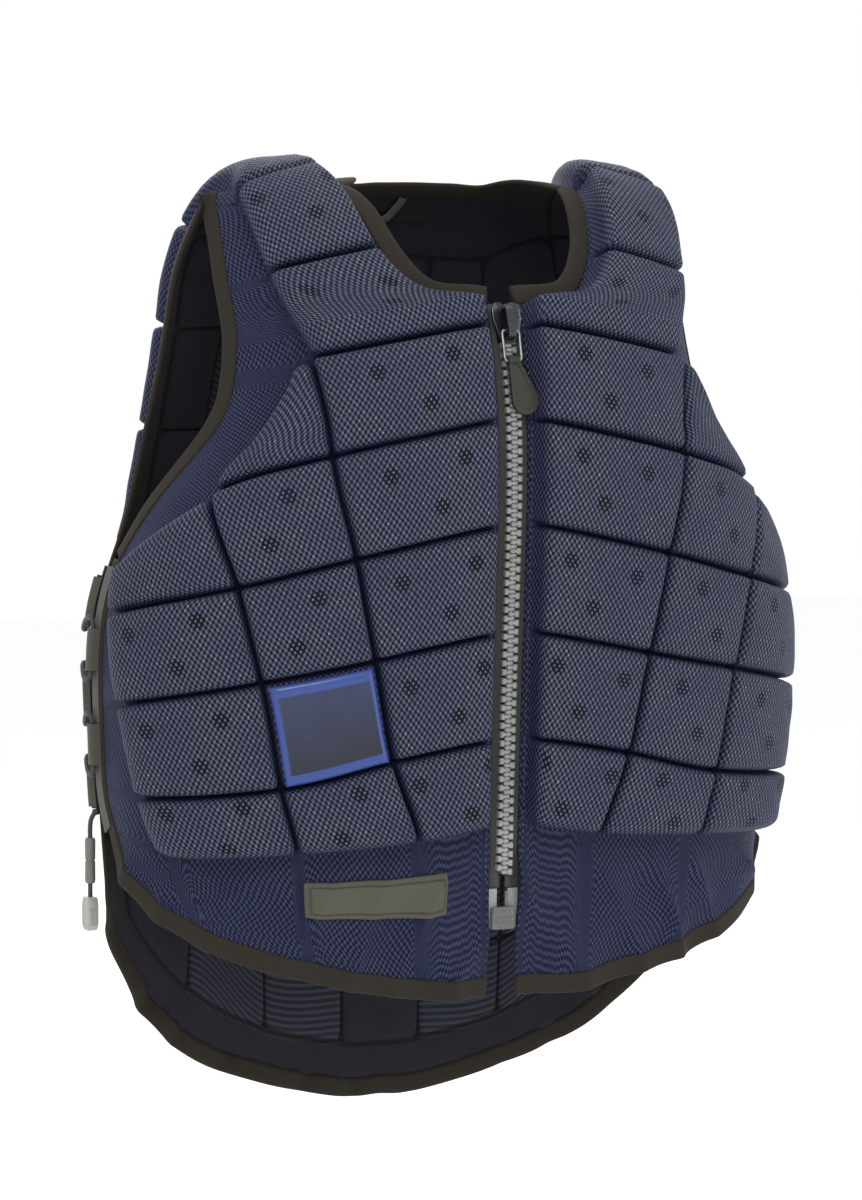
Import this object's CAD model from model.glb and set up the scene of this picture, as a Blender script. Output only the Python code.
import math

import bmesh
import bpy
import numpy as np
from mathutils import Matrix, Vector


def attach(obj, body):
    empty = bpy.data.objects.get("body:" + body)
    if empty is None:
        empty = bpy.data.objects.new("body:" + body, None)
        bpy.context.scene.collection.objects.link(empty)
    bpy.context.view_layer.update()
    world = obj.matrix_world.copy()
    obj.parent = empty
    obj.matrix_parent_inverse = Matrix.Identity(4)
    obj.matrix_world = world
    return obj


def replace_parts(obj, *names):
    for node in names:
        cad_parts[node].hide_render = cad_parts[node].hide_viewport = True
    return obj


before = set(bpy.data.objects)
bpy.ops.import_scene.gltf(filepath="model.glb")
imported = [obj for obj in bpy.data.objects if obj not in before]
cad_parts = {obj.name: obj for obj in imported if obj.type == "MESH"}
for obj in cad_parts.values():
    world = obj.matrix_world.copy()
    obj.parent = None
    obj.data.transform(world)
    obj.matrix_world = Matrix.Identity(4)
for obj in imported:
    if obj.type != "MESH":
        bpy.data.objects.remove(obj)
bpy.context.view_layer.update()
print("frame loaded")

mm = 0.001
tau = 2 * math.pi
sides = ((1, "left"), (-1, "right"))  # the wearer's left is +X


def link(obj):
    bpy.context.scene.collection.objects.link(obj)
    return obj


def linear(*rgb):
    # an sRGB colour of 0 to 255 as linear shares with an alpha of 1
    return tuple((c / 255 / 12.92) if c <= 10 else ((c / 255 + 0.055) / 1.055) ** 2.4 for c in rgb) + (1.0,)


# Camera

camera = dict(azimuth=-23.66, elevation=3.8, roll=-0.13, distance=2.6, centre=(0, 0, -0.227),
              shiftRight=-0.0022, shiftUp=-0.0256, pixel=0.0006, imageHeight=1200, sensor=36, clipEnd=50)


def makeCamera():
    a, e, r = (math.radians(camera[key]) for key in ("azimuth", "elevation", "roll"))
    back = Vector((math.sin(a) * math.cos(e), -math.cos(a) * math.cos(e), math.sin(e)))
    level = Vector((math.cos(a), math.sin(a), 0))
    rise = back.cross(level)
    right = level * math.cos(r) - rise * math.sin(r)
    up = level * math.sin(r) + rise * math.cos(r)
    target = Vector(camera["centre"]) + right * camera["shiftRight"] + up * camera["shiftUp"]
    data = bpy.data.cameras.new("camera")
    data.sensor_width = camera["sensor"]
    data.lens = camera["sensor"] * camera["distance"] / camera["pixel"] / camera["imageHeight"]
    data.clip_end = camera["clipEnd"]
    obj = link(bpy.data.objects.new("camera", data))
    turn = Matrix((right, up, back)).transposed().to_4x4()
    obj.matrix_world = Matrix.Translation(target + back * camera["distance"]) @ turn
    bpy.context.scene.camera = obj


makeCamera()
print("camera")

# Materials


class Value:
    # a shader socket, so that shader maths reads as an expression
    def __init__(self, kit, socket):
        self.kit = kit
        self.socket = socket

    def __add__(self, other):
        return self.kit.math("ADD", self, other)

    def __sub__(self, other):
        return self.kit.math("SUBTRACT", self, other)

    def __rsub__(self, other):
        return self.kit.math("SUBTRACT", other, self)

    def __mul__(self, other):
        return self.kit.math("MULTIPLY", self, other)

    __radd__ = __add__
    __rmul__ = __mul__


class Kit:
    def __init__(self, name):
        self.material = bpy.data.materials.new(name)
        self.material.use_nodes = True
        self.tree = self.material.node_tree
        self.shader = self.tree.nodes["Principled BSDF"]

    def node(self, kind, settings=None, **inputs):
        made = self.tree.nodes.new("ShaderNode" + kind)
        for key, value in (settings or {}).items():
            setattr(made, key, value)
        for key, value in inputs.items():  # i0, i1 and so on stand for a socket's number
            numbered = key[0] == "i" and key[1:].isdigit()
            self.feed(made.inputs[int(key[1:]) if numbered else key], value)
        return made

    def feed(self, socket, value):
        if isinstance(value, Value):
            self.tree.links.new(value.socket, socket)
        elif value is not None:
            socket.default_value = value

    def math(self, operation, *values):
        made = self.node("Math", {"operation": operation}, **{f"i{k}": v for k, v in enumerate(values)})
        return Value(self, made.outputs[0])

    def cos(self, value):
        return self.math("COSINE", value)

    def most(self, a, b):
        return self.math("MAXIMUM", a, b)

    def step(self, value, low, high, out=(0.0, 1.0)):
        made = self.node("MapRange", {"interpolation_type": "SMOOTHSTEP"}, i0=value, i1=low, i2=high,
                         i3=out[0], i4=out[1])
        return Value(self, made.outputs[0])

    def uv(self):
        # u, v and both together
        uv = Value(self, self.node("UVMap", {"uv_map": "UVMap"}).outputs[0])
        parts = self.node("SeparateXYZ", None, i0=uv)
        return Value(self, parts.outputs[0]), Value(self, parts.outputs[1]), uv

    def place(self):
        return Value(self, self.node("TexCoord").outputs["Object"])

    def attribute(self, name):
        return Value(self, self.node("Attribute", {"attribute_name": name}).outputs["Fac"])

    def noise(self, vector, scale, detail=2.0, rough=0.5):
        made = self.node("TexNoise", None, Vector=vector, Scale=scale, Detail=detail, Roughness=rough)
        return Value(self, made.outputs["Fac"])

    def blend(self, factor, a, b):
        made = self.node("Mix", {"data_type": "RGBA", "clamp_factor": True}, i0=factor, i6=a, i7=b)
        return Value(self, made.outputs[2])

    def finish(self, colour=None, rough=None, bump=None, strength=0.5, depth=0.001, **fixed):
        self.feed(self.shader.inputs["Base Color"], colour)
        self.feed(self.shader.inputs["Roughness"], rough)
        if bump is not None:
            made = self.node("Bump", None, Strength=strength, Distance=depth, Height=bump)
            self.tree.links.new(made.outputs[0], self.shader.inputs["Normal"])
        for key, value in fixed.items():
            self.shader.inputs[key.replace("_", " ")].default_value = value
        return self.material


# lengths in millimetres of the pattern; the vents of a block with three of them are 1000 further along
net = dict(across=3.3, down=4.6, padLow=linear(46, 50, 66), padYarn=linear(94, 100, 122),
           padFleck=linear(172, 177, 192), padHole=linear(12, 14, 28), ventHole=linear(1, 1, 4),
           flangeLow=linear(32, 36, 60), flangeYarn=linear(64, 70, 104), flangeHole=linear(8, 10, 20),
           crease=linear(9, 12, 36), bright=linear(26, 42, 124), broad=linear(18, 23, 56),
           sheen=linear(150, 160, 205), fleckScale=0.6, glintScale=0.9, broadScale=0.03, streakScale=0.11,
           ventRadius=4.8, vents=[(-8.5, -13.5), (9.5, 11), (1023, -12), (977.5, -14), (995, 11)])


def netMaterial():
    kit = Kit("knittedNet")
    u, v, uv = kit.uv()
    lift = kit.attribute("lift")
    cell = kit.cos(u * (tau / net["across"])) * kit.cos(v * (tau / net["down"]))
    inside, outside = ((net["ventRadius"] * share) ** 2 for share in (0.75, 1.2))
    vent = None
    for x, y in net["vents"]:
        du, dv = u - x, v - y
        near = kit.step(du * du + dv * dv, inside, outside, (1.0, 0.0))
        vent = near if vent is None else kit.most(vent, near)
    vent = vent * kit.step(lift, 0.85, 0.97)
    hole = kit.step(cell + vent * 0.4, -0.06, 0.26)
    knot = kit.step(cell * -1.0, 0.1, 0.9)
    fleck = kit.noise(uv, net["fleckScale"], 3.0, 0.75)
    glint = kit.step(kit.noise(uv, net["glintScale"], 2.0, 0.6), 0.58, 0.7)
    broad = kit.step(kit.noise(uv, net["broadScale"]), 0.35, 0.7)
    top = kit.step(lift, 0.5, 0.9)
    shade = kit.step(fleck, 0.3, 0.75) * 0.55 + knot * 0.45
    pad = kit.blend(shade, net["padLow"], net["padYarn"])
    pad = kit.blend(glint * knot * 0.8, pad, net["padFleck"])
    flange = kit.blend(shade, net["flangeLow"], net["flangeYarn"])
    yarn = kit.blend(top, flange, pad)
    dark = kit.blend(top, net["flangeHole"], kit.blend(vent, net["padHole"], net["ventHole"]))
    colour = kit.blend(hole, yarn, dark)
    colour = kit.blend(broad * 0.2, colour, net["broad"])
    streak = kit.step(kit.noise(uv, net["streakScale"]), 0.58, 0.7)
    seam = kit.blend(streak * 0.6, net["crease"], net["bright"])
    colour = kit.blend(kit.attribute("crease") * 0.85, colour, seam)
    height = knot * 0.6 - hole + fleck * 0.3 - vent * hole * 0.8
    return kit.finish(colour, 0.6, height, 0.5, 0.0009, Specular_IOR_Level=0.14, Sheen_Weight=0.05,
                      Sheen_Roughness=0.5, Sheen_Tint=net["sheen"])


lining = dict(weave=0.9, ribPitch=4.3, low=linear(20, 20, 26), high=linear(38, 39, 49),
              rib=linear(52, 55, 70), seam=linear(7, 7, 10))


def liningMaterial():
    kit = Kit("blackLining")
    u, v, uv = kit.uv()
    weave = kit.cos(u * (tau / lining["weave"])) * kit.cos(v * (tau / lining["weave"]))
    fuzz = kit.noise(uv, 1.4, 3.0, 0.6)
    cloud = kit.noise(uv, 0.05)
    rib = kit.step(kit.cos(v * (tau / lining["ribPitch"])), -0.6, 0.7) * kit.attribute("ribbed")
    colour = kit.blend(kit.step(fuzz, 0.3, 0.8) * 0.6 + cloud * 0.3, lining["low"], lining["high"])
    colour = kit.blend(rib * 0.75, colour, lining["rib"])
    colour = kit.blend(kit.step(kit.attribute("bulge"), 0.1, 0.8, (0.85, 0.0)), colour, lining["seam"])
    return kit.finish(colour, 0.72, weave * 0.2 + fuzz * 0.4 + rib * 1.6, 0.5, 0.0007,
                      Specular_IOR_Level=0.14, Sheen_Weight=0.05)


tape = dict(base=linear(56, 51, 44), dark=linear(27, 24, 20), fluff=linear(80, 75, 66),
            thread=linear(112, 106, 95), sheen=linear(170, 160, 145), ribPitch=1.3, waver=2.6,
            zigzagPitch=3.0, zigzagWide=0.7, zigzagAt=2.9)


def bindingMaterial():
    kit = Kit("ribbedBinding")
    u, v, uv = kit.uv()  # u along the tape, v round it from its inner edge, in millimetres
    fuzz = kit.noise(uv, 0.9, 3.0, 0.7)
    worn = kit.noise(uv, 0.1)
    rib = kit.cos(u * (tau / tape["ribPitch"]) + kit.cos(v * (tau / tape["waver"])) * 1.2)
    zigzag = v - (kit.cos(u * (tau / tape["zigzagPitch"])) * tape["zigzagWide"] + tape["zigzagAt"])
    seam = kit.step(zigzag * zigzag, 0.1, 0.6, (1.0, 0.0))
    colour = kit.blend(kit.step(fuzz, 0.25, 0.8) * 0.65 + worn * 0.35, tape["dark"], tape["base"])
    colour = kit.blend(kit.step(fuzz, 0.58, 0.74) * 0.45, colour, tape["fluff"])
    colour = kit.blend(seam * 0.6, colour, tape["thread"])
    height = rib * 0.2 + fuzz * 0.8 + seam * 0.8
    return kit.finish(colour, 0.8, height, 0.6, 0.0007, Specular_IOR_Level=0.12, Sheen_Weight=0.05,
                      Sheen_Tint=tape["sheen"])


def webMaterial(name, dark, light, ribs, rough=0.7):
    kit = Kit(name)
    u, _, uv = kit.uv()
    rib = kit.cos(u * (tau / ribs))
    fuzz = kit.noise(uv, 1.3, 3.0, 0.6)
    colour = kit.blend(kit.step(rib * 0.5 + fuzz, 0.2, 1.0), dark, light)
    return kit.finish(colour, rough, rib * 0.6 + fuzz * 0.5, 0.5, 0.0005, Specular_IOR_Level=0.15,
                      Sheen_Weight=0.08)


def cordMaterial():
    kit = Kit("braidedCord")
    u, v, _ = kit.uv()
    along, around = u * (tau / 1.6), v * 2.2
    braid = kit.cos(along + around) * kit.cos(along - around)
    colour = kit.blend(kit.step(braid, -0.4, 0.8), linear(14, 14, 16), linear(66, 66, 68))
    return kit.finish(colour, 0.6, braid, 0.5, 0.0004, Specular_IOR_Level=0.2, Sheen_Weight=0.1)


def hardMaterial(name, low, high, rough, metal=0.0, grain=900.0, **fixed):
    kit = Kit(name)
    place = kit.place()
    fine = kit.noise(place, grain, 3.0, 0.6)
    broad = kit.noise(place, grain * 0.08)
    colour = kit.blend(kit.step(fine, 0.3, 0.75) * 0.6 + broad * 0.4, low, high)
    roughness = broad * 0.35 + (rough - 0.35 * 0.5)
    return kit.finish(colour, roughness, fine, 0.4, 0.00012, Metallic=metal, **fixed)


def windowMaterial():
    kit = Kit("clearPocket")
    _, v, uv = kit.uv()
    edge = kit.attribute("rim")
    cloud = kit.noise(uv, 0.06)
    speck = kit.noise(uv, 1.2, 3.0, 0.7)
    shade = kit.blend(kit.step(v, 0, 60) * 0.85 + cloud * 0.3, linear(44, 52, 84), linear(14, 17, 34))
    shade = kit.blend(kit.step(speck, 0.45, 0.75) * 0.25, shade, linear(88, 98, 124))
    colour = kit.blend(kit.step(edge, 0.2, 0.8), shade, linear(48, 68, 132))
    return kit.finish(colour, 0.25, cloud * 0.6 + speck * 0.1, 0.3, 0.0008, Specular_IOR_Level=0.3,
                      Coat_Weight=0.25, Coat_Roughness=0.08)


def patchMaterial():
    kit = Kit("bareRubberPatch")
    fine = kit.noise(kit.uv()[2], 1.6, 3.0, 0.6)
    colour = kit.blend(fine, linear(68, 67, 58), linear(88, 87, 76))
    colour = kit.blend(kit.attribute("rim"), colour, linear(38, 38, 33))
    return kit.finish(colour, 0.62, fine, 0.35, 0.0003, Specular_IOR_Level=0.2)


materials = dict(
    net=netMaterial(),
    lining=liningMaterial(),
    binding=bindingMaterial(),
    zipTape=webMaterial("zipTape", linear(22, 22, 21), linear(66, 66, 62), 0.9),
    webbing=webMaterial("sleeveWebbing", linear(30, 30, 28), linear(74, 72, 66), 1.5),
    cord=cordMaterial(),
    teeth=hardMaterial("mouldedTeeth", linear(92, 94, 91), linear(170, 172, 167), 0.3, 0.0, 1400.0,
                       Coat_Weight=0.7, Coat_Roughness=0.12),
    slider=hardMaterial("wornSlider", linear(34, 36, 38), linear(92, 95, 98), 0.3, 0.9),
    ring=hardMaterial("ringMetal", linear(112, 115, 118), linear(170, 173, 176), 0.32, 0.95),
    rubber=hardMaterial("tabRubber", linear(38, 39, 34), linear(58, 59, 52), 0.5, Specular_IOR_Level=0.3),
    stop=hardMaterial("stopPlastic", linear(70, 72, 70), linear(108, 110, 106), 0.38),
    film=hardMaterial("tapeFilm", linear(118, 122, 124), linear(150, 154, 156), 0.3),
    toggle=hardMaterial("togglePlastic", linear(92, 93, 88), linear(122, 123, 117), 0.4),
    clip=hardMaterial("clipPlastic", linear(140, 141, 135), linear(176, 177, 170), 0.38),
    clear=windowMaterial(),
    patch=patchMaterial(),
    thread=hardMaterial("greyThread", linear(52, 54, 60), linear(88, 90, 96), 0.7, 0.0, 2500.0),
    label=webMaterial("satinLabel", linear(10, 10, 12), linear(26, 26, 30), 0.7, 0.45),
)
print("materials")

# The worn form, as the solids have it, and the plan of the panels on it

form = dict(length=0.555, halfWidth=0.207, frontDepth=0.107, backDepth=0.085, fall=0.125, fallStart=0.04,
            square=2.5, zipEdge=0.009, small=1e-3)
# drop, front width, front depth, back width, back depth, as shares
sections = np.array([(0, 0.676, 0, 0.676, 0), (0.0054, 0.686, 0.234, 0.696, 0.294),
                    (0.0252, 0.696, 0.467, 0.725, 0.529), (0.0739, 0.715, 0.692, 0.773, 0.741),
                    (0.1586, 0.734, 0.907, 0.807, 0.906), (0.2414, 0.787, 1.009, 0.855, 0.965),
                    (0.326, 0.908, 1.028, 0.908, 1), (0.434, 1, 1, 1, 1), (0.578, 1, 0.953, 1, 0.953),
                    (0.7225, 0.971, 0.916, 0.971, 0.953), (0.9387, 0.932, 0.85, 0.932, 1),
                    (1.02, 0.925, 0.835, 0.925, 1)])
roots = np.sqrt(sections[:, 0])


def column(key, r):
    values = sections[:, key]
    last = len(roots) - 1
    ahead = np.minimum(np.arange(last + 1) + 1, last)
    behind = np.maximum(np.arange(last + 1) - 1, 0)
    slope = (values[ahead] - values[behind]) / (roots[ahead] - roots[behind])
    k = np.clip(np.searchsorted(roots, r, side="left") - 1, 0, last - 1)
    span = roots[k + 1] - roots[k]
    t = (r - roots[k]) / span
    return ((2 * t ** 3 - 3 * t ** 2 + 1) * values[k] + (t ** 3 - 2 * t ** 2 + t) * span * slope[k]
            + (3 * t ** 2 - 2 * t ** 3) * values[k + 1] + (t ** 3 - t ** 2) * span * slope[k + 1])


def formPoint(turn, root):
    r = np.abs(root)
    inFront = root < 0
    wide = form["halfWidth"] * np.where(inFront, column(1, r), column(3, r))
    deep = np.where(inFront, -form["frontDepth"] * column(2, r), form["backDepth"] * column(4, r))
    s, c = np.sin(turn * math.pi / 2), np.cos(turn * math.pi / 2)
    rho = (np.abs(s) ** form["square"] + np.abs(c) ** form["square"]) ** (-1 / form["square"])
    x = wide * rho * s
    fall = form["fall"] * (np.hypot(x, form["fallStart"]) - form["fallStart"])
    return np.stack([x, deep * rho * c, -form["length"] * r * r - fall], -1)


def unit(vectors):
    return vectors / np.linalg.norm(vectors, axis=-1, keepdims=True)


def formNormal(turn, root):
    e = form["small"]
    across = formPoint(turn + e, root) - formPoint(turn - e, root)
    down = formPoint(turn, root + e) - formPoint(turn, root - e)
    return unit(np.cross(across, down))


def rootOf(drop):
    return np.sign(drop) * np.sqrt(np.abs(drop))


def turnAt(x, root):
    share = x / (form["halfWidth"] * column(1, np.abs(root)))
    return np.arctan2(share, (1 - share ** form["square"]) ** (1 / form["square"])) / (math.pi / 2)


# Each row: (turn, drop) on the lines inner, first, second, third, outer. None is the zip edge.
frontTable = [
    [(0.356, 0.0045), (0.7, 0.0126), (0.76, 0.0126), (0.82, 0.0126), (0.87, 0.0126)],
    [(0.318, 0.03), (0.645, 0.039), (0.695, 0.041), (0.75, 0.043), (0.8, 0.045)],
    [(0.271, 0.08), (0.583, 0.091), (0.635, 0.094), (0.69, 0.096), (0.748, 0.098)],
    [(0.19, 0.124), (0.545, 0.124), (0.59, 0.127), (0.655, 0.13), (0.722, 0.132)],
    [(None, 0.137), (0.51, 0.15), (0.55, 0.153), (0.63, 0.156), (0.712, 0.158)],
    [(None, 0.163), (0.47, 0.18), (0.505, 0.186), (0.6, 0.188), (0.71, 0.19)],
    [(None, 0.194), (0.443, 0.213), (0.545, 0.227), (0.66, 0.236), (0.727, 0.229)],
    [(None, 0.225), (0.415, 0.247), (0.583, 0.268), (0.76, 0.308), (0.83, 0.285)],
    [(None, 0.256), (0.388, 0.279), (0.619, 0.309), (0.88, 0.382), (1, 0.369)],
    [(None, 0.362), (0.303, 0.382), (0.508, 0.4), (0.864, 0.425), (1, 0.438)],
    [(None, 0.474), (0.256, 0.488), (0.45, 0.497), (0.81, 0.512), (1, 0.5225)],
    [(None, 0.586), (0.223, 0.596), (0.417, 0.609), (0.75, 0.607), (1, 0.604)],
    [(None, 0.681), (0.175, 0.688), (0.39, 0.683), (0.69, 0.672), (0.93, 0.652)],
    [(None, 0.77), (0.17, 0.772), (0.385, 0.752), (0.66, 0.712), (0.87, 0.68)],
    [(None, 0.841), (0.165, 0.834), (0.37, 0.798), (0.62, 0.744), (0.8, 0.699)],
]
# centre, first, second, third, fourth, outer; a negative drop is in front of the shoulder ridge
backTable = [
    [(0, 0.018), (0.1, 0.017), (0.215, 0.0117), (0.356, -0.0045), (0.7, -0.0126), (0.87, -0.0126)],
    [(0, 0.045), (0.1, 0.044), (0.222, 0.037), (0.378, 0.006), (0.7, 0.004), (0.862, 0.004)],
    [(0, 0.081), (0.1, 0.081), (0.23, 0.076), (0.4, 0.045), (0.7, 0.04), (0.855, 0.038)],
    [(0, 0.171), (0.095, 0.171), (0.245, 0.168), (0.44, 0.144), (0.67, 0.137), (0.81, 0.135)],
    [(0, 0.27), (0.09, 0.27), (0.25, 0.268), (0.445, 0.252), (0.65, 0.243), (0.79, 0.238)],
    [(0, 0.32), (0.088, 0.32), (0.252, 0.319), (0.44, 0.31), (0.64, 0.308), (0.765, 0.31)],
    [(0, 0.369), (0.086, 0.369), (0.254, 0.369), (0.43, 0.369), (0.63, 0.37), (0.745, 0.375)],
    [(0, 0.466), (0.085, 0.466), (0.256, 0.465), (0.42, 0.46), (0.635, 0.452), (0.74, 0.438)],
    [(0, 0.563), (0.085, 0.563), (0.256, 0.56), (0.42, 0.55), (0.635, 0.534), (0.74, 0.5225)],
    [(0, 0.66), (0.085, 0.66), (0.256, 0.654), (0.42, 0.638), (0.635, 0.614), (0.74, 0.604)],
    [(0, 0.757), (0.085, 0.756), (0.255, 0.745), (0.425, 0.715), (0.64, 0.668), (0.745, 0.652)],
    [(0, 0.86), (0.085, 0.858), (0.255, 0.838), (0.43, 0.79), (0.65, 0.712), (0.76, 0.688)],
    [(0, 0.962), (0.085, 0.958), (0.255, 0.926), (0.44, 0.86), (0.65, 0.758), (0.775, 0.712)],
    [(0, 1), (0.085, 0.998), (0.255, 0.966), (0.445, 0.908), (0.66, 0.796), (0.785, 0.735)],
]
neckRow, armRow, backArmRow = 4, 8, 6  # where the neck meets the zip and the armhole meets the side


def weights(count, t, cuts=()):
    t = np.asarray(t, float)
    k = np.clip(np.floor(t).astype(int), 0, count - 2)
    s = t - k
    h = [2 * s ** 3 - 3 * s ** 2 + 1, s ** 3 - 2 * s ** 2 + s, 3 * s ** 2 - 2 * s ** 3, s ** 3 - s ** 2]
    w = np.zeros((len(t), count))
    for n in range(len(t)):
        i = k[n]
        w[n, i] += h[0][n]
        w[n, i + 1] += h[2][n]
        a, b = (i - 1, i + 1) if i > 0 and i not in cuts else (i, i + 1)
        w[n, b] += h[1][n] / (b - a)
        w[n, a] -= h[1][n] / (b - a)
        a, b = (i, i + 2) if i + 2 < count and i + 1 not in cuts else (i, i + 1)
        w[n, b] += h[3][n] / (b - a)
        w[n, a] -= h[3][n] / (b - a)
    return w


class Plan:
    def __init__(self, name, lines, cuts, zipLine=None):
        self.name = name
        self.lines = lines  # per line an array of (turn, root) by row
        self.cuts = cuts
        self.zipLine = zipLine

    def at(self, rows, cols):
        rows, cols = np.asarray(rows, float), np.asarray(cols, float)
        points = []
        for k, line in enumerate(self.lines):
            value = weights(len(line), rows, self.cuts.get(k, ())) @ line
            if k == self.zipLine:
                beside = rows >= neckRow
                value[beside, 0] = turnAt(form["zipEdge"], value[beside, 1])
            points.append(value)
        across = weights(len(self.lines), cols)
        both = np.einsum("ck,krv->rcv", across, np.array(points))
        return both[..., 0], both[..., 1]


def frontPlan():
    lines = []
    for k in range(len(frontTable[0])):
        line = []
        for row in frontTable:
            turn, root = row[k][0], -rootOf(row[k][1])
            line.append((float(turnAt(form["zipEdge"], root)) if turn is None else turn, root))
        lines.append(np.array(line, float))
    return Plan("front", lines, {0: (neckRow,), 4: (armRow,)}, 0)


def backPlan():
    right = [np.array([(-row[k][0], rootOf(row[k][1])) for row in backTable]) for k in range(5, 0, -1)]
    left = [np.array([(row[k][0], rootOf(row[k][1])) for row in backTable]) for k in range(6)]
    return Plan("back", right + left, {0: (backArmRow,), 10: (backArmRow,)})


plans = dict(front=frontPlan(), back=backPlan())
# how far the net's pattern is moved where it has three vents or none, in millimetres
shift = dict(threeVents=1000, noVents=2000, flange=3000)
# the blocks with three vents, by their first line, and the row at which a line's vents start
threeVents = dict(front=(0, 2), back=(1, 3, 6, 8))
ventsFrom = dict(front={1: 8, 2: 9}, back={})

# Blocks of foam: rows and lines between which each column of pads runs
frontRows = [0, 2, 5, 8, 9, 10, 11, 12]
backRows = [2, 3, 4, 6, 7, 8, 9, 10, 11, 12]
frontBlocks = [(a, b, 0, 1) for a, b in zip(frontRows, frontRows[1:])]
frontBlocks += [(a, b, 1, 2) for a, b in zip(frontRows[2:], frontRows[3:])]
frontBlocks += [(a, b, 2, 3) for a, b in zip(frontRows[3:], frontRows[4:])]
backBlocks = [(a, b, c, d) for a, b in zip(backRows, backRows[1:])
              for c, d in ((4, 6), (3, 4), (6, 7), (2, 3), (7, 8), (1, 2), (8, 9))]
backBlocks += [(0, 2, 1, 2), (0, 2, 8, 9)]

# millimetres above the form: the unpadded flange, the groove between two blocks, the top of a block
relief = dict(flange=2.3, groove=6.0, top=19.2, sunk=2.2, crown=0.9, sunkCrown=0.2, rise=4.2, endRise=9,
              sideRise=16, corner=0.85, power=2.2, edgeMargin=5, endMargin=1.2, seamMargin=0.4, inner=0.9,
              waver=0.3, innerBulge=2.4, creaseWide=2.6, creaseEnd=3, borderShift=1.5, borderRise=4,
              fold=3.0, foldPitch=58, foldReach=60, ridge=5.6, ridgePitch=37, ridgePower=2.2, ridgeReach=32,
              ridgeWaver=21)
edgeSteps = [0, 0.7, 1.5, 2.6, 4.2, 6.4]  # lattice lines beside a seam, in millimetres


def spaced(length, step, ends):
    if ends is None:
        return np.linspace(0, 1, max(2, round(length / step)) + 1)
    near = []
    for margin in ends:
        lead = [0] if margin < 2 else [0, margin / 2]
        near.append(lead + [margin * (margin >= 2) + e for e in edgeSteps[0 if margin >= 2 else 1:]])
    low, high = near[0], [length - e for e in reversed(near[1])]
    count = max(1, round((high[0] - low[-1]) / step))
    middle = np.linspace(low[-1], high[0], count + 1)[1:-1]
    return np.array(low + list(middle) + high) / length


def arcOf(points):
    return np.concatenate([[0], np.cumsum(np.linalg.norm(np.diff(points, axis=0), axis=1))])


def lattice(plan, spans, step, along, fixed):
    params, marks = [], {}
    for low, high, ends in spans:
        fine = np.linspace(low, high, 81)
        turn, root = plan.at(fine, [fixed]) if along == "rows" else plan.at([fixed], fine)
        arc = arcOf(formPoint(turn.ravel(), root.ravel()))
        values = np.interp(spaced(arc[-1] / mm, step, ends) * arc[-1], arc, fine)
        marks[low] = len(params)
        params += list(values[:-1])
        marks[high] = len(params)
    return np.array(params + [spans[-1][1]]), marks


def smooth(t):
    t = np.clip(t, 0, 1)
    return t * t * (3 - 2 * t)


def runs(points):
    # distances along the rows and down the columns of a grid of points, in millimetres
    across, down = (np.cumsum(np.linalg.norm(np.diff(points, axis=k), axis=2) / mm, axis=k) for k in (1, 0))
    return np.pad(across, ((0, 0), (1, 0))), np.pad(down, ((1, 0), (0, 0)))


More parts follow.
